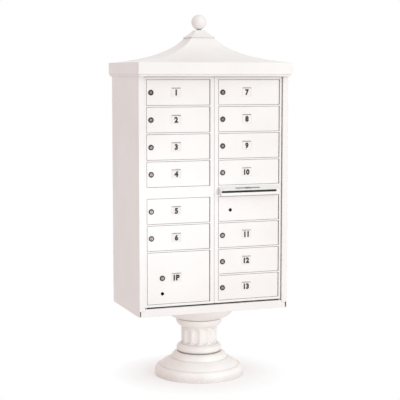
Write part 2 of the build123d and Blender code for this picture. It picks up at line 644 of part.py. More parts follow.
def mail_hood():
    """Hood over the slot: sloping top, upright nose with the slot in it, foot and two end cheeks."""
    x0 = HOOD_X0 + HOOD_T
    x1 = HOOD_X1 - HOOD_T
    slot_z0 = HOOD_Z0 + HOOD_NOSE_H
    outline = Polyline((FACE_Y, BAND_Z1), (HOOD_Y0, HOOD_NOSE_Z1 + HOOD_T), (HOOD_Y0, HOOD_NOSE_Z1),
                       (HOOD_Y0 + HOOD_T, HOOD_NOSE_Z1), (FACE_Y, BAND_Z1 - HOOD_T), close=True)
    top = extrude(Plane.YZ.offset(x0) * make_face(outline), x1 - x0)
    nose = block(x0, x1, HOOD_Y0, HOOD_Y0 + HOOD_T, HOOD_Z0, slot_z0)
    closed_end = block(x1 - SLOT_SHORT, x1, HOOD_Y0, HOOD_Y0 + HOOD_T, slot_z0, HOOD_NOSE_Z1)
    foot = block(x0, x1, HOOD_Y0 + HOOD_T, FACE_Y, HOOD_Z0, HOOD_Z0 + HOOD_T)
    cheek_outline = Polyline((FACE_Y, HOOD_Z0), (FACE_Y, BAND_Z1), (HOOD_Y0, HOOD_NOSE_Z1 + HOOD_T),
                             (HOOD_Y0, HOOD_Z0), close=True)
    cheek = make_face(cheek_outline)
    left = extrude(Plane.YZ.offset(HOOD_X0) * cheek, HOOD_T)
    right = extrude(Plane.YZ.offset(x1) * cheek, HOOD_T)
    save("mail_hood", top, nose, closed_end, foot, left, right)


def mail_flap():
    """Plate that hangs behind the window on its own rod and swings in when mail is pushed through."""
    ear_x0 = OPENING_NEAR_X + WINDOW_INSET
    ear_x1 = OPENING_FAR_X - WINDOW_INSET
    rod = along_x(FLAP_Y, FLAP_Z, ear_x0 - EAR_T, ear_x1 + EAR_T, FLAP_ROD_R)
    plate = block(ear_x0 + FLAP_END_GAP, ear_x1 - FLAP_END_GAP, FLAP_Y - FLAP_T / 2, FLAP_Y + FLAP_T / 2,
                  FLAP_Z - FLAP_H, FLAP_Z)
    save("mail_flap", rod + plate)


# ---- pedestal and cover ----

def pedestal():
    """Welded stand: base plate with four anchor holes, square tube and top plate."""
    base = block(-BASE_W / 2, BASE_W / 2, -BASE_W / 2, BASE_W / 2, 0, BASE_T)
    for x in (-ANCHOR_PITCH / 2, ANCHOR_PITCH / 2):
        for y in (-ANCHOR_PITCH / 2, ANCHOR_PITCH / 2):
            base -= upright(x, y, -1, BASE_T + 1, ANCHOR_HOLE_R)
    half = TUBE_W / 2
    top_z = STAND_H - TOP_PLATE_T
    tube = block(-half, half, -half, half, BASE_T, top_z)
    hollow = half - TUBE_WALL
    tube -= block(-hollow, hollow, -hollow, hollow, BASE_T - 1, top_z + 1)
    plate = TOP_PLATE_W / 2
    save("pedestal", base, tube, block(-plate, plate, -plate, plate, top_z, STAND_H))


def cover_outline():
    """Right half of the cover's outer moulding, from the floor to the cabinet: radius and height."""
    z1 = PLINTH_H
    z2 = z1 + SECOND_H
    z3 = z2 + THIRD_H
    z4 = z3 + TORUS_H
    z5 = z4 + COLUMN_H
    z6 = z5 + ECHINUS_H
    z7 = STAND_H - COVER_TOP_GAP
    torus_r = COLUMN_R + TORUS_PROUD
    echinus_r = COLUMN_R + ECHINUS_PROUD
    neck_r = COLUMN_R + 7.5
    slope_r = torus_r - 2
    ledge_r = WAIST_R - 8
    return Curve() + [
        Line((PLINTH_R, 0), (PLINTH_R, z1 / 3)),
        ThreePointArc((PLINTH_R, z1 / 3), (PLINTH_R - 4, z1 * 0.72), (PLINTH_TOP_R, z1)),
        Line((PLINTH_TOP_R, z1), (PLINTH_TOP_R - 6, z1)),
        Line((PLINTH_TOP_R - 6, z1), (PLINTH_TOP_R - 6, z1 + 2)),
        ThreePointArc((PLINTH_TOP_R - 6, z1 + 2), ((PLINTH_TOP_R + WAIST_R) / 2 + 3, z1 + 18), (WAIST_R, z2)),
        Line((WAIST_R, z2), (ledge_r, z2 + 1)),
        ThreePointArc((ledge_r, z2 + 1), (ledge_r - 7, z2 + 21), (slope_r, z3)),
        Line((slope_r, z3), (neck_r, z3)),
        ThreePointArc((neck_r, z3), (torus_r, (z3 + z4) / 2), (neck_r, z4)),
        Line((neck_r, z4), (COLUMN_R, z4)),
        Line((COLUMN_R, z4), (COLUMN_R, z5)),
        Line((COLUMN_R, z5), (COLUMN_R + 3.5, z5)),
        ThreePointArc((COLUMN_R + 3.5, z5), (echinus_r - 5, z5 + 15), (echinus_r, z6 - 8)),
        Line((echinus_r, z6 - 8), (echinus_r, z6)),
        Line((echinus_r, z6), (echinus_r - 7, z6)),
        Line((echinus_r - 7, z6), (echinus_r - 7, z6 + 3)),
        Line((echinus_r - 7, z6 + 3), (echinus_r + 3, z6 + 3)),
        ThreePointArc((echinus_r + 3, z6 + 3), ((echinus_r + FLARE_R) / 2 + 9, z6 + 24),
                      (FLARE_R, z7 - 10)),
        Line((FLARE_R, z7 - 10), (FLARE_R, z7)),
        Polyline((FLARE_R, z7), (FLARE_R - COVER_WALL, z7), (FLARE_R - COVER_WALL, z7 - 9),
                 (echinus_r - 3, z6 + 10), (echinus_r - 7 - COVER_WALL, z6 + 2),
                 (COLUMN_R + 4 - COVER_WALL - 5, z5 + 6), (COLUMN_R - 2 * COVER_WALL, z5 + 2),
                 (COLUMN_R - 2 * COVER_WALL, z3 - 2), (slope_r - COVER_WALL, z3 - 8),
                 (ledge_r - COVER_WALL, z2 - 6), (PLINTH_TOP_R - 6 - 4 * COVER_WALL, z1 + 6),
                 (PLINTH_TOP_R - 6 - COVER_WALL, z1 - 5), (PLINTH_R - 4 - COVER_WALL, z1 / 2),
                 (PLINTH_R - COVER_WALL, z1 / 3), (PLINTH_R - COVER_WALL, 0), (PLINTH_R, 0)),
    ]


def flute_cutter():
    """Shallow round-ended cutter on the +X side of the column."""
    z0 = PLINTH_H + SECOND_H + THIRD_H + TORUS_H + FLUTE_END
    height = COLUMN_H - 2 * FLUTE_END
    half_span = math.radians(FLUTE_SPAN / 2)
    half_chord = COLUMN_R * math.sin(half_span)
    sagitta = FLUTE_DEPTH - COLUMN_R * (1 - math.cos(half_span))
    radius = (half_chord ** 2 + sagitta ** 2) / (2 * sagitta)
    centre = COLUMN_R - FLUTE_DEPTH + radius
    groove = upright(centre, 0, z0, z0 + height, radius)
    slot = Plane(origin=(COLUMN_R / 2, 0, z0 + height / 2), x_dir=(0, 0, 1), z_dir=(1, 0, 0))
    window = extrude(slot * SlotOverall(height, 2 * half_chord), COLUMN_R)
    return groove & window


def pedestal_cover():
    """Round moulded cover in a front half and a rear half, which meet on the XZ plane."""
    ring = revolve(Plane.XZ * make_face(cover_outline()), Axis.Z)
    cutter = flute_cutter()
    for i in range(FLUTE_COUNT):
        ring -= Rot(0, 0, i * 360 / FLUTE_COUNT) * cutter
    reach = PLINTH_R + 1
    front = block(-reach, reach, -reach, 0, -1, STAND_H)
    rear = block(-reach, reach, 0, reach, -1, STAND_H)
    save("cover_front_half", ring & front)
    save("cover_rear_half", ring & rear)


def main():
    os.makedirs("parts", exist_ok=True)
    pedestal()
    pedestal_cover()
    floor_pan()
    cabinet_shell()
    compartment_rack()
    roof()
    roof_cap()
    finial()
    master_hinge_pins()
    for column in COLUMN_X0:
        master_frame(column)
        door_pins(column)
    latch_bar()
    mail_hood()
    mail_flap()
    for name in DOORS:
        door(name)
        if name != "outgoing_door":
            label = name.replace("tenant_door_", "").replace("_door", "")
            lock_housing(f"lock_housing_{label}", *lock_of(name))
            lock_cam(f"lock_cam_{label}", *lock_of(name))


if __name__ == "__main__":
    main()
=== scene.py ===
# %% [markdown]
# # A cluster mailbox unit: its finishes, its labels and its small hardware
# The pieces with real dimensions (cabinet, doors, locks, roof, pedestal cover) come from CAD and
# are loaded as a fixed frame. This lesson gives them their finishes and adds what is too fine for
# CAD: number cards in their holders, the mark, lip and weather brush of the mail slot, and the rivets
# of the back. Everything is in metres, in the frame of the CAD model, with the front facing -Y.

# %% Load the frame
import bmesh
import bpy
import math
import numpy as np
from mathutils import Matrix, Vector


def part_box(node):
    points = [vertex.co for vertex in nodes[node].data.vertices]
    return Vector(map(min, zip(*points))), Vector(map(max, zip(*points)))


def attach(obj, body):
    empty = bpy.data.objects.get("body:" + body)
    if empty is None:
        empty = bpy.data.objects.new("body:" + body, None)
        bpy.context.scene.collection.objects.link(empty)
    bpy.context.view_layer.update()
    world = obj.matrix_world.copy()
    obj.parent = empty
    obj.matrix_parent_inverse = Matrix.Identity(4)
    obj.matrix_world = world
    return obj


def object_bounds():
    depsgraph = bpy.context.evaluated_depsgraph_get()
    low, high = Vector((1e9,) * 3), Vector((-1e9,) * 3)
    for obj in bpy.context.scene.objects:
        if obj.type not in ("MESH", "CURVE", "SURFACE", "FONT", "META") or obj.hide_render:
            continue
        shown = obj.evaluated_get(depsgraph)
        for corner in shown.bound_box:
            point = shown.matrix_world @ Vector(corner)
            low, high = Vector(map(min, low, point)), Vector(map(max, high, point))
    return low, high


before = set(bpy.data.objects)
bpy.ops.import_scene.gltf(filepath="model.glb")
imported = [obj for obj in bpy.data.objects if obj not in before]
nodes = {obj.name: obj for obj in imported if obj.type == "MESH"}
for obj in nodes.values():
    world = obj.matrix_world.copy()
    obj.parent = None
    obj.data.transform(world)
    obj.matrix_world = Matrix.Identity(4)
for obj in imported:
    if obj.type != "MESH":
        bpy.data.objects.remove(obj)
cad_lo, cad_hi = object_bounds()
print("CAD nodes:", len(nodes), "size:", [round(v, 4) for v in cad_hi - cad_lo])

# %% [markdown]
# ## Colours and nodes
# Paint makers and pickers give colours as sRGB hex, but shaders work in linear light, so one
# function converts. A second adds any shader node with its settings and links, which lets each
# finish below read as a short recipe. A number that is the same all over a surface is set on the
# shader's own socket, and nodes are kept for what varies from place to place.

# %% Two helpers for every finish
def linear(hex_colour):
    """sRGB hex to linear RGBA: a dark channel is divided by 12.92, and a brighter one is shifted,
    scaled and raised to the power 2.4."""
    channels = [int(hex_colour[i:i + 2], 16) / 255 for i in (1, 3, 5)]
    return [c / 12.92 if c <= 0.04045 else ((c + 0.055) / 1.055) ** 2.4 for c in channels] + [1.0]


def add(tree, kind, inputs, stops=(), **settings):
    """Adds one node. Inputs map a socket to a value or to another node's output. Stops are a
    colour ramp's (position, hex colour) pairs. Settings are the node's own attributes."""
    node = tree.nodes.new(kind)
    for key, value in settings.items():
        setattr(node, key, value)
    for socket, value in inputs.items():
        if isinstance(value, bpy.types.NodeSocket):
            tree.links.new(value, node.inputs[socket])
        else:
            node.inputs[socket].default_value = value
    for number, (position, colour) in enumerate(stops):
        if number >= len(node.color_ramp.elements):
            node.color_ramp.elements.new(position)
        node.color_ramp.elements[number].position = position
        node.color_ramp.elements[number].color = linear(colour)
    return node


def start_finish(name, **constants):
    """A material whose main shader has its constant sockets set, with its tree and coordinates."""
    material = bpy.data.materials.new(name)
    material.use_nodes = True
    tree = material.node_tree
    shader = tree.nodes["Principled BSDF"]
    for socket, value in constants.items():
        shader.inputs[socket.replace("_", " ")].default_value = value
    return material, tree, shader, tree.nodes.new("ShaderNodeTexCoord").outputs["Object"]


def per_metre(millimetres):
    """Noise scale for features of a given width: features per metre of object coordinates."""
    return 1000.0 / millimetres


print("warm white in linear light:", [round(c, 3) for c in linear("#F3F1EF")[:3]])

# %% [markdown]
# ## Polyester powder coat
# The cabinet, doors and roof are aluminium sheet sprayed with polyester powder and baked at 200 degrees. The
# powder melts into a film 0.07 mm thick: a semi-gloss plastic over metal, so it is not metallic, and its IOR
# is that of polyester, 1.5. What the eye gets is a soft broad highlight with a faint orange peel. Real peel
# has waves 2 to 4 mm wide. Here a second wave of 9 mm is laid over it, because the real one is too fine to
# show at this distance. Film thickness drifts a little over each sheet. Where two sheets meet and in gaps,
# which ambient occlusion finds, the colour is darkened as painted shade, broken up by noise. A bevel node
# rounds the shaded edges by the radius of a sheared and coated edge, so they catch a thin light.

# %% White powder coat
def powder_coat(name, clean, thin, gap_shade, roughness):
    """Baked powder film: tone drift, painted shade in corners and gaps, two sizes of orange peel, soft edges.
    """
    material, tree, shader, place = start_finish(name, IOR=1.5, Coat_Weight=0.12, Coat_Roughness=0.22)
    drift = add(tree, "ShaderNodeTexNoise", {"Vector": place, "Scale": per_metre(260), "Detail": 3.0})
    film = add(tree, "ShaderNodeValToRGB", {"Fac": drift.outputs["Fac"]}, stops=[(0.30, thin), (0.64, clean)])
    # Painted shade: corners and gaps found by ambient occlusion are darkened towards a dark colour, broken up
    # by noise.
    corner = add(tree, "ShaderNodeAmbientOcclusion", {"Distance": 0.010}, samples=8)
    mottle = add(tree, "ShaderNodeTexNoise", {"Vector": place, "Scale": per_metre(6), "Detail": 4.0})
    patchy = add(tree, "ShaderNodeMath", {0: corner.outputs["AO"], 1: mottle.outputs["Fac"]}, operation="ADD")
    painted_shade = add(tree, "ShaderNodeMapRange", {"Value": patchy.outputs[0], "From Min": 0.55, "From Max": 1.2,
                                               "To Min": 0.95, "To Max": 0.0})
    colour = add(tree, "ShaderNodeMix", {0: painted_shade.outputs[0], 6: film.outputs["Color"], 7: linear(gap_shade)},
                 data_type="RGBA")
    fine = add(tree, "ShaderNodeTexNoise", {"Vector": place, "Scale": per_metre(3), "Detail": 2.0})
    coarse = add(tree, "ShaderNodeTexNoise", {"Vector": place, "Scale": per_metre(9), "Detail": 1.0})
    matt = add(tree, "ShaderNodeMapRange", {"Value": fine.outputs["Fac"], "From Min": 0.3, "From Max": 0.7,
                                            "To Min": roughness - 0.05, "To Max": roughness + 0.07})
    edge = add(tree, "ShaderNodeBevel", {"Radius": 0.0011}, samples=4)
    peel = add(tree, "ShaderNodeBump", {"Height": coarse.outputs["Fac"], "Strength": 0.10, "Distance": 0.0006,
                                        "Normal": edge.outputs["Normal"]})
    grain = add(tree, "ShaderNodeBump", {"Height": fine.outputs["Fac"], "Strength": 0.10, "Distance": 0.0002,
                                         "Normal": peel.outputs["Normal"]})
    for socket, output in (("Base Color", colour.outputs[2]), ("Roughness", matt.outputs[0]),
                           ("Normal", grain.outputs["Normal"])):
        tree.links.new(output, shader.inputs[socket])
    return material


# The last colour of each coat is the painted shade for its corners and gaps.
white_coat = powder_coat("white_powder_coat", "#F1F0EE", "#ECEAE8", "#453E39", 0.34)
roof_coat = powder_coat("roof_powder_coat", "#F2F1EF", "#EDEBE9", "#A9A29B", 0.38)
stand_coat = powder_coat("stand_powder_coat", "#E2DFDA", "#D6D2CC", "#9C948A", 0.50)
print("powder coats:", white_coat.name, roof_coat.name, stand_coat.name)

# %% [markdown]
# ## Moulded cover
# The pedestal cover is two moulded shells of weatherproof ASA plastic, coloured right through. A mould leaves
# a spark-eroded texture and a slightly satin skin. Its real bumps are some tenths of a millimetre apart, and
# are drawn 1.6 mm apart because finer ones would not show. Plastic lets a little light in, so its shadows
# look warmer and softer than those of painted metal, which a small subsurface weight gives. The colour
# darkens towards the foot, following height along a ragged line, and creases found by ambient occlusion are
# darkened as painted shade.

# %% White moulded plastic
def moulded_plastic(name, clean, worn, foot_and_crease_dark):
    """Textured ASA: flow marks in the colour, darker near the floor, painted shade in creases, and an eroded
    skin as bump.
    """
    material, tree, shader, place = start_finish(name, IOR=1.51, Subsurface_Weight=0.05,
                                                 Subsurface_Scale=0.004)
    flow = add(tree, "ShaderNodeTexNoise", {"Vector": place, "Scale": per_metre(120), "Detail": 4.0})
    skin = add(tree, "ShaderNodeValToRGB", {"Fac": flow.outputs["Fac"]}, stops=[(0.33, worn), (0.62, clean)])
    # The colour darkens in the lowest few centimetres, along a ragged line.
    height = add(tree, "ShaderNodeSeparateXYZ", {"Vector": place})
    ragged = add(tree, "ShaderNodeTexNoise", {"Vector": place, "Scale": per_metre(14), "Detail": 5.0})
    line = add(tree, "ShaderNodeMath", {0: ragged.outputs["Fac"], 1: 0.05, 2: height.outputs["Z"]},
               operation="MULTIPLY_ADD")
    towards_foot = add(tree, "ShaderNodeMapRange", {"Value": line.outputs[0], "From Min": 0.02, "From Max": 0.065,
                                             "To Min": 0.28, "To Max": 0.0})
    # Painted shade: creases found by ambient occlusion are darkened.
    corner = add(tree, "ShaderNodeAmbientOcclusion", {"Distance": 0.012}, samples=8)
    crease_shade = add(tree, "ShaderNodeMapRange", {"Value": corner.outputs["AO"], "From Min": 0.35,
                                               "From Max": 0.9, "To Min": 0.5, "To Max": 0.0})
    darkening = add(tree, "ShaderNodeMath", {0: towards_foot.outputs[0], 1: crease_shade.outputs[0]}, operation="MAXIMUM")
    colour = add(tree, "ShaderNodeMix", {0: darkening.outputs[0], 6: skin.outputs["Color"], 7: linear(foot_and_crease_dark)},
                 data_type="RGBA")
    eroded = add(tree, "ShaderNodeTexNoise", {"Vector": place, "Scale": per_metre(1.6), "Detail": 2.0})
    satin = add(tree, "ShaderNodeMapRange", {"Value": flow.outputs["Fac"], "To Min": 0.34, "To Max": 0.5})
    edge = add(tree, "ShaderNodeBevel", {"Radius": 0.0015}, samples=4)
    texture = add(tree, "ShaderNodeBump", {"Height": eroded.outputs["Fac"], "Strength": 0.18,
                                           "Distance": 0.0003, "Normal": edge.outputs["Normal"]})
    for socket, output in (("Base Color", colour.outputs[2]), ("Roughness", satin.outputs[0]),
                           ("Normal", texture.outputs["Normal"])):
        tree.links.new(output, shader.inputs[socket])
    return material


# The last colour is the dark tone for the foot and for the painted shade in creases.
cover_plastic = moulded_plastic("moulded_asa_plastic", "#FAF9F6", "#F5F3F0", "#A79E94")
print("cover:", cover_plastic.name)

# %% [markdown]
# ## Bare metals
# Four metals show here. Lock housings are die-cast zinc plated with black nickel, which mirrors the
# room darkly and a little brown. Lock plugs and cams are nickel plated and dulled by keys. The rack
# and the mail flap are mill-finish aluminium, with the long faint lines that the rolling mill
# leaves. Pins, rivets and the latch bar are drawn stainless steel. All are fully metallic, and
# differ in tint, in roughness and in the direction in which the pattern is stretched: a noise
# squeezed in two axes becomes a grain. Real scratches are finer than 0.2 mm, and are drawn 1 to 2.5
# mm apart so that they show.

# %% One recipe for plated, rolled and drawn metal
def bare_metal(name, bright, dull, grain_mm, along, rough_low, rough_high, tarnish="#5A534C"):
    """Metal with its grain stretched by the along factors in x, y and z, and dark corners."""
    material, tree, shader, place = start_finish(name, Metallic=1.0)
    stretched = add(tree, "ShaderNodeMapping", {"Vector": place, "Scale": along})
    lines = add(tree, "ShaderNodeTexNoise", {"Vector": stretched.outputs["Vector"],
                                             "Scale": per_metre(grain_mm), "Detail": 4.0})
    cloud = add(tree, "ShaderNodeTexNoise", {"Vector": place, "Scale": per_metre(grain_mm * 9),
                                             "Detail": 3.0})
    tone = add(tree, "ShaderNodeMath", {0: lines.outputs["Fac"], 1: cloud.outputs["Fac"]}, operation="ADD")
    half = add(tree, "ShaderNodeMath", {0: tone.outputs[0], 1: 0.5}, operation="MULTIPLY")
    plate = add(tree, "ShaderNodeValToRGB", {"Fac": half.outputs[0]}, stops=[(0.36, dull), (0.60, bright)])
    corner = add(tree, "ShaderNodeAmbientOcclusion", {"Distance": 0.003}, samples=8)
    dark = add(tree, "ShaderNodeMapRange", {"Value": corner.outputs["AO"], "From Min": 0.3, "From Max": 0.85,
                                            "To Min": 0.9, "To Max": 0.0})
    colour = add(tree, "ShaderNodeMix", {0: dark.outputs[0], 6: plate.outputs["Color"], 7: linear(tarnish)},
                 data_type="RGBA")
    satin = add(tree, "ShaderNodeMapRange", {"Value": lines.outputs["Fac"], "From Min": 0.3, "From Max": 0.7,
                                             "To Min": rough_low, "To Max": rough_high})
    edge = add(tree, "ShaderNodeBevel", {"Radius": 0.0004}, samples=4)
    scratch = add(tree, "ShaderNodeBump", {"Height": lines.outputs["Fac"], "Strength": 0.15,
                                           "Distance": 0.0001, "Normal": edge.outputs["Normal"]})
    for socket, output in (("Base Color", colour.outputs[2]), ("Roughness", satin.outputs[0]),
                           ("Normal", scratch.outputs["Normal"])):
        tree.links.new(output, shader.inputs[socket])
    return material


lock_black = bare_metal("black_nickel_plate", "#403936", "#272220", 1.2, (1, 1, 1), 0.22, 0.40, "#0C0A0A")
plug_nickel = bare_metal("nickel_plate", "#8E867F", "#5E5750", 1.0, (1, 1, 1), 0.22, 0.40, "#1B1715")
mill_aluminium = bare_metal("mill_aluminium", "#C9CACC", "#AEB0B3", 2.5, (1, 0.04, 1), 0.30, 0.48)
drawn_steel = bare_metal("drawn_stainless_steel", "#BDBBB8", "#9A9794", 1.0, (1, 1, 0.05), 0.22, 0.40)
print("metals:", [m.name for m in (lock_black, plug_nickel, mill_aluminium, drawn_steel)])

# %% [markdown]
# ## Rubber, nylon, vinyl and card
# The slot's lip and brush, and the strip under each card's lip, are black as painted shade: they draw the
# dark line of the slot's opening and the shadow line under each card's lip. Like EPDM rubber and nylon, they
# are dark grey rather than black, and rough. The numerals are cut from cast vinyl film, a satin plastic 0.1
# mm thick. Each sits on a white card in a holder of clear-coated ABS. Card has fibres about 1 mm long and no
# gloss.

# %% One recipe for the small plain parts
def small_part(name, light, dark, spacing_mm, rough_low, rough_high, depth_mm, ior=1.5):
    """Non-metal with one pattern that varies its colour, its roughness and its surface."""
    material, tree, shader, place = start_finish(name, IOR=ior)
    grain = add(tree, "ShaderNodeTexNoise", {"Vector": place, "Scale": per_metre(spacing_mm), "Detail": 4.0})
    tone = add(tree, "ShaderNodeValToRGB", {"Fac": grain.outputs["Fac"]}, stops=[(0.35, dark), (0.65, light)])
    satin = add(tree, "ShaderNodeMapRange", {"Value": grain.outputs["Fac"], "From Min": 0.3, "From Max": 0.7,
                                             "To Min": rough_low, "To Max": rough_high})
    relief = add(tree, "ShaderNodeBump", {"Height": grain.outputs["Fac"], "Strength": 0.3,
                                          "Distance": depth_mm / 1000})
    for socket, output in (("Base Color", tone.outputs["Color"]), ("Roughness", satin.outputs[0]),
                           ("Normal", relief.outputs["Normal"])):
        tree.links.new(output, shader.inputs[socket])
    return material


# Painted shade: these two black finishes darken the slot's lip and brush and the strip under each card's lip.
shade_rubber = small_part("shade_black_rubber", "#1E1D1C", "#121211", 1.5, 0.55, 0.75, 0.15, 1.52)
shade_nylon = small_part("shade_black_bristle", "#191818", "#0E0E0E", 0.8, 0.40, 0.60, 0.05, 1.53)
vinyl = small_part("black_vinyl_film", "#141313", "#0A0A0A", 2.0, 0.42, 0.58, 0.05, 1.48)
card = small_part("white_card", "#F6F4F1", "#ECE9E5", 1.0, 0.70, 0.85, 0.10, 1.45)
holder_plastic = small_part("moulded_abs_holder", "#EFEDEB", "#E4E1DE", 3.0, 0.25, 0.38, 0.08, 1.54)
print("small parts:", [m.name for m in (shade_rubber, shade_nylon, vinyl, card, holder_plastic)])

# %% [markdown]
# ## Finishes go on the CAD pieces
# A CAD piece keeps its mesh and only changes its material slots. Names say which metal or coat a
# piece has, so one short table of name beginnings covers all sixty of them.

# %% Assign a finish to every CAD node
finish_of = {
    "cover_": cover_plastic, "lock_housing_": lock_black, "lock_cam_": plug_nickel,
    "compartment_rack": mill_aluminium, "mail_flap": mill_aluminium, "latch_bar": drawn_steel,
    "left_door_pins": drawn_steel, "right_door_pins": drawn_steel, "master_hinge_pins": drawn_steel,
    "pedestal": stand_coat, "roof": roof_coat, "finial": roof_coat,
}
for name, node in nodes.items():
    chosen = next((m for start, m in finish_of.items() if name.startswith(start)), white_coat)
    node.data.materials.clear()
    node.data.materials.append(chosen)
print("finished nodes:", len(nodes))

# %% [markdown]
# ## How new pieces are made
# Every new piece is a set of closed shells. A shell is a stack of rings: ring after ring of points
# is joined by quads, and the first and last rings are capped. A rivet is rings that shrink, a card
# holder is rings that step in and out, and a bristle is two small rings. All rings are worked out
# as whole arrays, so a piece with hundreds of shells is made as fast as a piece with one.

# %% Shells from rings
def shells(name, rings, finishes, body, band_finish=None):
    """Makes a piece from an array of shape (shells, rings, points, 3). Band j, between rings j and
    j + 1, takes finish number band_finish[j], and the end caps take the first and last band's."""
    count, steps, around, _ = rings.shape
    corner = np.arange(count * steps * around).reshape(count, steps, around)
    beside = np.roll(corner, -1, axis=2)
    quads = np.stack([corner[:, :-1], beside[:, :-1], beside[:, 1:], corner[:, 1:]], axis=-1).reshape(-1, 4)
    caps = np.concatenate([corner[:, 0, ::-1], corner[:, -1]])
    mesh = bpy.data.meshes.new(name)
    mesh.from_pydata(rings.reshape(-1, 3).tolist(), [], quads.tolist() + caps.tolist())
    bands = np.asarray(band_finish if band_finish is not None else [0] * (steps - 1))
    number = np.concatenate([np.broadcast_to(bands[None, :, None], (count, steps - 1, around)).ravel(),
                             np.full(count, bands[0]), np.full(count, bands[-1])])
    mesh.polygons.foreach_set("material_index", number.astype(np.int32))
    for finish in finishes:
        mesh.materials.append(finish)
    solid = bmesh.new()
    solid.from_mesh(mesh)
    bmesh.ops.recalc_face_normals(solid, faces=solid.faces)
    solid.to_mesh(mesh)
    solid.free()
    piece = bpy.data.objects.new(name, mesh)
    bpy.context.scene.collection.objects.link(piece)
    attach(piece, body)
    return piece


def rounded_rectangle(half_w, half_h, radius, per_corner=5):
    """Outline as an array (points, 2): each corner is a quarter circle about a centre that is one
    radius in from both sides, with its angles running on from the corner before."""
    quarter = np.linspace(0, math.pi / 2, per_corner)
    angle = (quarter[None, :] + np.arange(4)[:, None] * math.pi / 2).ravel()
    sign_x = np.repeat([1, -1, -1, 1], per_corner)
    sign_z = np.repeat([1, 1, -1, -1], per_corner)
    return np.stack([sign_x * (half_w - radius) + radius * np.cos(angle),
                     sign_z * (half_h - radius) + radius * np.sin(angle)], axis=1)


def facing_front(x, face_y, z, half_w, half_h, radius, profile):
    """Rings of a plate on a wall that faces -Y. Each profile step is (inset, height above the
    wall), and its ring is the outline moved in by the inset and out by the height."""
    rings = []
    for inset, height in profile:
        edge = max(radius - inset, 0.0002)
        outline = rounded_rectangle(half_w - inset, half_h - inset, edge)
        rings.append(np.column_stack([x + outline[:, 0], np.full(len(outline), face_y - height),
                                      z + outline[:, 1]]))
    return np.array(rings)


print("outline points:", len(rounded_rectangle(0.025, 0.0215, 0.002)))

# %% [markdown]
# ## Number cards
# Each tenant's door has a card holder: a shallow moulded frame, 50 by 43 mm, with a lip along its top that
# keeps rain off the card. A strip of black rubber under the lip is painted shade: it draws the dark shadow
# line under the lip. The frame could be a box with a bevel, but its rim and the sunken card are one
# continuous moulding, so here it is one outline carried through a profile, and the innermost band and cap
# take the card's finish.

# %% Card holders
MM = 0.001
labels = {f"tenant_door_{n}": str(n) for n in range(1, 14)}
labels["parcel_door"] = "1P"
HOLDER_HALF = (25 * MM, 21.5 * MM)
HOLDER_UP = 2 * MM          # above the middle of the door
CARD_X = 148 * MM           # from the door's left edge
holder_profile = [(0.0, 0.0), (0.0, 0.9 * MM), (0.3 * MM, 1.2 * MM), (1.3 * MM, 1.2 * MM),
                  (1.6 * MM, 0.9 * MM), (1.7 * MM, 0.5 * MM), (3.0 * MM, 0.5 * MM)]
lip_steps = [(0.0, 0.6 * MM), (0.0, 2.4 * MM), (0.4 * MM, 2.8 * MM)]
shade_strip_steps = [(0.0, 0.4 * MM), (0.0, 1.1 * MM), (0.2 * MM, 1.3 * MM)]
places = {}
for door, label in labels.items():
    lo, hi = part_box(door)
    body = "door_" + ("parcel" if door == "parcel_door" else label)
    face_y = lo.y
    places[door] = (lo.x + CARD_X, face_y, (lo.z + hi.z) / 2, body)
    x, z = lo.x + CARD_X, (lo.z + hi.z) / 2 + HOLDER_UP
    rings = facing_front(x, face_y, z, *HOLDER_HALF, 1.5 * MM, holder_profile)
    holder = shells("card_holder_" + body, rings[None], [holder_plastic, card], body, [0, 0, 0, 0, 0, 1])
    top = z + HOLDER_HALF[1]
    lip = facing_front(x, face_y, top - 0.6 * MM, 23 * MM, 1.2 * MM, 0.8 * MM, lip_steps)
    shells("card_lip_" + body, lip[None], [holder_plastic], body)
    # Painted shade: the black strip under the lip draws the shadow line beneath it.
    shade_strip = facing_front(x, face_y, top - 3.0 * MM, 22 * MM, 1.2 * MM, 0.4 * MM, shade_strip_steps)
    shells("card_shade_strip_" + body, shade_strip[None], [shade_rubber], body)
print("card holders:", len(places))

# %% [markdown]
# ## Numerals
# The numerals are cut from vinyl film. A text curve gives the outlines. Its outline is moved out a
# little, and a flat bevel moves it out further, for a bold weight: moving it out all at once would
# make a glyph's outline cross itself. It is given a thin body, made a mesh, and only then turned to
# face the front and placed, because a finished piece keeps its object at the origin.

# %% Bold numerals on the cards
NUMERAL_H = 29 * MM
NUMERAL_NARROW = 0.95


def flat_text(name, text, height, narrow, x, y, z, thickness):
    """Mesh of a text, upright and facing -Y: (u, v, w) of the flat text goes to (u, -w, v)."""
    curve = bpy.data.curves.new(name, "FONT")
    curve.body = text
    curve.offset = 0.038
    curve.bevel_depth = 0.026
    curve.bevel_resolution = 0
    curve.extrude = 0.5
    curve.resolution_u = 4
    maker = bpy.data.objects.new(name + "_outline", curve)
    bpy.context.scene.collection.objects.link(maker)
    bpy.context.view_layer.update()
    mesh = bpy.data.meshes.new_from_object(maker)
    bpy.data.objects.remove(maker)
    flat = np.empty(len(mesh.vertices) * 3)
    mesh.vertices.foreach_get("co", flat)
    flat = flat.reshape(-1, 3)
    middle = (flat.min(0) + flat.max(0)) / 2
    scale = height / (flat.max(0) - flat.min(0))[1]
    u, v, w = ((flat - middle) * [scale * narrow, scale, thickness]).T
    mesh.vertices.foreach_set("co", np.column_stack([x + u, y - w, z + v]).ravel())
    mesh.name = name
    piece = bpy.data.objects.new(name, mesh)
    bpy.context.scene.collection.objects.link(piece)
    return piece


for door, label in labels.items():
    x, face_y, z, body = places[door]
    numeral = flat_text("numeral_" + body, label, NUMERAL_H, NUMERAL_NARROW, x, face_y - 0.6 * MM, z,
                        0.25 * MM)
    numeral.data.materials.clear()
    numeral.data.materials.append(vinyl)
    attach(numeral, body)
print("numerals:", len(labels))
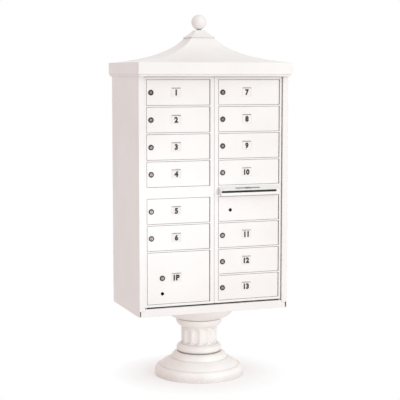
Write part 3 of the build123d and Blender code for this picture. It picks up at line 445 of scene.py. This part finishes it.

# %% [markdown]
# ## The mail slot
# Outgoing letters go in under the hood. A rubber lip frames the slot so that envelopes don't catch, and a
# brush behind it keeps rain and hands out while letters push through. Both are black as painted shade: they
# draw the slot as the dark line that its shadowed opening makes. The lip is a half-round bead carried round
# the slot's outline. The brush is some hundreds of tapered bristles: each is only a few faces, placed by one
# array of positions.

# %% Lip and brush
hood_lo, hood_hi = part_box("mail_hood")
NOSE_H = 15 * MM                       # from the hood's lower edge to the slot
SLOT_H = 7 * MM
slot_low = hood_lo.z + NOSE_H
slot_high = slot_low + SLOT_H
slot_near, slot_far = hood_lo.x + 3 * MM, hood_hi.x - 22 * MM
slot_x = (slot_near + slot_far) / 2
slot_half = (slot_far - slot_near) / 2
lip_centre = (slot_low + slot_high) / 2
lip_profile = [(0.6 * MM, -1.5 * MM), (-1.6 * MM, 0.0), (-1.6 * MM, 0.3 * MM), (-1.0 * MM, 0.7 * MM),
               (0.0, 0.9 * MM), (0.8 * MM, 0.7 * MM), (1.0 * MM, 0.3 * MM), (0.9 * MM, -1.5 * MM)]
lip_rings = facing_front(slot_x, hood_lo.y, lip_centre, slot_half, SLOT_H / 2, 1.8 * MM, lip_profile)
print("lip rings:", lip_rings.shape)


def hoop(name, rings, finishes, body):
    """A closed bead: rings are joined in a loop, so the last meets the first and nothing is capped."""
    steps, around, _ = rings.shape
    corner = np.arange(steps * around).reshape(steps, around)
    across = np.roll(corner, -1, axis=0)
    quads = np.stack([corner, np.roll(corner, -1, axis=1), np.roll(across, -1, axis=1), across], axis=-1)
    mesh = bpy.data.meshes.new(name)
    mesh.from_pydata(rings.reshape(-1, 3).tolist(), [], quads.reshape(-1, 4).tolist())
    for finish in finishes:
        mesh.materials.append(finish)
    solid = bmesh.new()
    solid.from_mesh(mesh)
    bmesh.ops.recalc_face_normals(solid, faces=solid.faces)
    solid.to_mesh(mesh)
    solid.free()
    piece = bpy.data.objects.new(name, mesh)
    bpy.context.scene.collection.objects.link(piece)
    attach(piece, body)
    return piece


# Painted shade: the lip is black to draw the slot as a dark line.
hoop("slot_lip_shade", lip_rings, [shade_rubber], "right_master_door")

BRISTLE_PITCH = 1.1 * MM               # real bristles stand closer: this is as fine as shows
BRISTLE_HALF = 0.42 * MM
starts = np.arange(-slot_half + 2 * MM, slot_half - 2 * MM, BRISTLE_PITCH)
rows = np.array([4.0, 5.2]) * MM
spread = np.sin(np.arange(len(starts)) * 12.9898) * 0.25 * MM
square = np.array([(1, 1), (-1, 1), (-1, -1), (1, -1)]) * BRISTLE_HALF
tips = np.linspace(1, 0.55, 3)
x = slot_x + starts[None, :, None, None] + spread[None, :, None, None] + \
    square[None, None, None, :, 0] * tips[None, None, :, None]
y = hood_lo.y + rows[:, None, None, None] + square[None, None, None, :, 1] * tips[None, None, :, None]
z = np.linspace(slot_high + 1.5 * MM, slot_low - 0.5 * MM, 3)[None, None, :, None]
bristles = np.stack(np.broadcast_arrays(x, y, z), axis=-1).reshape(-1, 3, 4, 3)
# Painted shade: the bristles are black to darken the slot's opening.
brush = shells("slot_brush_shade", bristles, [shade_nylon], "right_master_door")
print("bristles:", len(bristles))

# %% [markdown]
# ## The mark on the hood
# A hood like this carries a small mark that says letters go out here. A plain envelope between two
# pairs of bars says it without words. Each stroke is a flat ribbon: its four corners are the ends of a line
# moved sideways by half the stroke, and it lies on the hood's slope.

# %% Envelope mark
door_face_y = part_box("right_master_frame")[0].y
slope_low = np.array([hood_lo.y, slot_high + 3 * MM])
slope_high = np.array([door_face_y, hood_hi.z])
slope_run = slope_high - slope_low
slope_length = np.hypot(*slope_run)
slope_dir = slope_run / slope_length
slope_out = np.array([-slope_dir[1], slope_dir[0]])
W, H = 11 * MM, 6.0 * MM               # half the envelope's width and height
BAR, GAP, BAR_Z = 62 * MM, 16 * MM, 3.2 * MM    # the bars' far and near ends, and their height
HALF_STROKE = 1.9 * MM
lines = np.array([
    [(-W, -H), (W, -H)], [(W, -H), (W, H)], [(W, H), (-W, H)], [(-W, H), (-W, -H)],
    [(-W, H), (0, -0.6 * MM)], [(0, -0.6 * MM), (W, H)],
    [(-BAR, BAR_Z), (-GAP, BAR_Z)], [(GAP, BAR_Z), (BAR, BAR_Z)],
    [(-BAR, -BAR_Z), (-GAP, -BAR_Z)], [(GAP, -BAR_Z), (BAR, -BAR_Z)],
])
along = lines[:, 1] - lines[:, 0]
along /= np.linalg.norm(along, axis=1, keepdims=True)
side = np.stack([-along[:, 1], along[:, 0]], axis=1) * HALF_STROKE
end = along * HALF_STROKE
flat = np.stack([lines[:, 0] - end + side, lines[:, 0] - end - side, lines[:, 1] + end - side,
                 lines[:, 1] + end + side], axis=1)
heights = np.array([0.0, 0.2]) * MM
u = np.broadcast_to(flat[:, None, :, 0], (len(lines), 2, 4))
v = np.broadcast_to(flat[:, None, :, 1], (len(lines), 2, 4)) + slope_length * 0.52
up = heights[None, :, None]
mark_rings = np.stack([slot_x + u, slope_low[0] + slope_dir[0] * v + slope_out[0] * up,
                       slope_low[1] + slope_dir[1] * v + slope_out[1] * up], axis=-1)
mark = shells("hood_mark", mark_rings, [vinyl], "right_master_door")
print("strokes:", len(lines), "slope length:", round(slope_length / MM, 1), "mm")

# %% [markdown]
# ## Rivets
# Blind rivets hold the back sheet to the two side panels. A rivet's head is a low dome: its radius
# shrinks with the cosine of an angle while its height grows with the sine. Rings of twelve points
# are enough for something 6 mm across.

# %% A line of rivets down each back edge
def domes(name, centres, radius, height, finish, body):
    """Domes on a wall that faces +Y, one for each row of centres (x, y, z)."""
    turn = np.linspace(0, 2 * math.pi, 12, endpoint=False)
    rise = np.linspace(0, 0.46 * math.pi, 5)
    ring_r = np.concatenate([[radius], radius * np.cos(rise)])
    ring_h = np.concatenate([[-0.2 * MM], height * np.sin(rise)])
    offset = np.stack([ring_r[:, None] * np.cos(turn), np.repeat(ring_h[:, None], 12, axis=1),
                       ring_r[:, None] * np.sin(turn)], axis=-1)
    return shells(name, centres[:, None, None, :] + offset[None], [finish], body)


shell_lo, shell_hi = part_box("cabinet_shell")
RIVET_ROWS = 12
RIVET_INSET = 7.5 * MM                 # from the side panels, in the middle of their rear flanges
levels = np.linspace(shell_lo.z + 40 * MM, shell_hi.z - 110 * MM, RIVET_ROWS)
across = np.array([shell_lo.x + RIVET_INSET, shell_hi.x - RIVET_INSET])
grid_x, grid_z = np.meshgrid(across, levels)
centres = np.column_stack([grid_x.ravel(), np.full(grid_x.size, shell_hi.y), grid_z.ravel()])
rivets = domes("back_rivets", centres, 3.1 * MM, 1.2 * MM, drawn_steel, "cabinet")
print("rivets:", len(centres))

# %% [markdown]
# ## Studio
# The floor is a wide pale disc that fades into white with distance, and a white dome stands behind
# it, so no horizon line crosses the picture. Neither sends soft light onto the cabinet: a glowing
# floor would flatten the shading of the cover, and the sky lights it from below instead. Light is
# soft and plain: a large key lamp from the front right, one overhead, a small one low down for the
# cover, and an even sky, a little warmer than the lamps, for the shadows.

# %% Floor, backdrop, lamps and sky
def disc(name, radius, rings, around):
    """Flat disc at height 0: radius grows evenly from ring to ring, and the middle ring is capped."""
    r = np.linspace(radius / rings, radius, rings)
    turn = np.linspace(0, 2 * math.pi, around, endpoint=False)
    points = np.stack([r[:, None] * np.cos(turn), r[:, None] * np.sin(turn), np.zeros((rings, around))],
                      axis=-1)
    corner = np.arange(rings * around).reshape(rings, around)
    beside = np.roll(corner, -1, axis=1)
    quads = np.stack([corner[:-1], corner[1:], beside[1:], beside[:-1]], axis=-1).reshape(-1, 4)
    mesh = bpy.data.meshes.new(name)
    mesh.from_pydata(points.reshape(-1, 3).tolist(), [], quads.tolist() + [corner[0].tolist()])
    piece = bpy.data.objects.new(name, mesh)
    bpy.context.scene.collection.objects.link(piece)
    return piece


FADE_START, FADE_END = 0.05, 0.45      # metres from the pedestal's axis
floor = disc("studio_floor", 30.0, 24, 96)
floor.visible_diffuse = False
floor_paint, tree, shader, place = start_finish("studio_floor_paint", IOR=1.45, Roughness=0.9)
shader.inputs["Base Color"].default_value = linear("#F8F7F6")
distance = add(tree, "ShaderNodeVectorMath", {0: place}, operation="LENGTH")
far = add(tree, "ShaderNodeMapRange", {"Value": distance.outputs["Value"], "From Min": FADE_START,
                                       "From Max": FADE_END})
glow = add(tree, "ShaderNodeEmission", {"Color": linear("#FFFFFF"), "Strength": 1.0})
blend = add(tree, "ShaderNodeMixShader", {0: far.outputs[0], 1: shader.outputs[0], 2: glow.outputs[0]})
tree.links.new(blend.outputs[0], tree.nodes["Material Output"].inputs["Surface"])
floor.data.materials.append(floor_paint)

bpy.ops.mesh.primitive_uv_sphere_add(radius=45.0, segments=48, ring_count=24)
dome = bpy.context.object
dome.name = "studio_backdrop"
dome.visible_diffuse = dome.visible_shadow = dome.visible_transmission = False
backdrop_paint, tree, shader, place = start_finish("studio_backdrop_paint")
glow = add(tree, "ShaderNodeEmission", {"Color": linear("#FFFFFF"), "Strength": 1.0})
tree.links.new(glow.outputs[0], tree.nodes["Material Output"].inputs["Surface"])
dome.data.materials.append(backdrop_paint)


def softbox(name, place, target, size, watts, tint):
    """A square lamp at a place, turned so that its face looks at the target."""
    lamp = bpy.data.lights.new(name, "AREA")
    lamp.size = size
    lamp.energy = watts
    lamp.color = linear(tint)[:3]
    holder = bpy.data.objects.new(name, lamp)
    holder.location = place
    holder.rotation_euler = (Vector(target) - Vector(place)).to_track_quat("-Z", "Y").to_euler()
    bpy.context.scene.collection.objects.link(holder)
    return holder


middle = (cad_lo + cad_hi) / 2
softbox("key_lamp", (2.4, -4.4, 3.4), middle, 2.4, 45, "#E3FDFF")
softbox("top_lamp", (0.3, -1.6, 4.4), middle, 2.4, 19, "#E3FDFF")
softbox("low_lamp", (0.6, -3.2, 0.5), (0.0, 0.0, 0.15), 1.0, 24, "#EEFBFF")
world = bpy.data.worlds.new("studio_sky")
world.use_nodes = True
world.node_tree.nodes["Background"].inputs["Color"].default_value = linear("#FFF0EE")
world.node_tree.nodes["Background"].inputs["Strength"].default_value = 0.74
bpy.context.scene.world = world
bpy.context.scene.view_settings.view_transform = "Standard"
print("floor and lamps ready")

# %% [markdown]
# ## Camera
# A long lens from a few metres away, a little above the middle of the cabinet and 20 degrees round
# to its left, tilted down by 6 degrees. The lens is in millimetres on a sensor 36 mm wide.

# %% Camera
camera = bpy.data.objects.new("camera", bpy.data.cameras.new("camera"))
azimuth, tilt = math.radians(-20.04), math.radians(6.0)
back = Vector((math.sin(azimuth) * math.cos(tilt), -math.cos(azimuth) * math.cos(tilt), math.sin(tilt)))
camera.location = (-2.021, -5.556, 1.5116)
camera.rotation_euler = (-back).to_track_quat("-Z", "Y").to_euler()
camera.data.sensor_width = 36.0
camera.data.lens = 105.75
bpy.context.scene.collection.objects.link(camera)
bpy.context.scene.camera = camera
print("camera distance:", round((camera.location - middle).length, 3), "m")
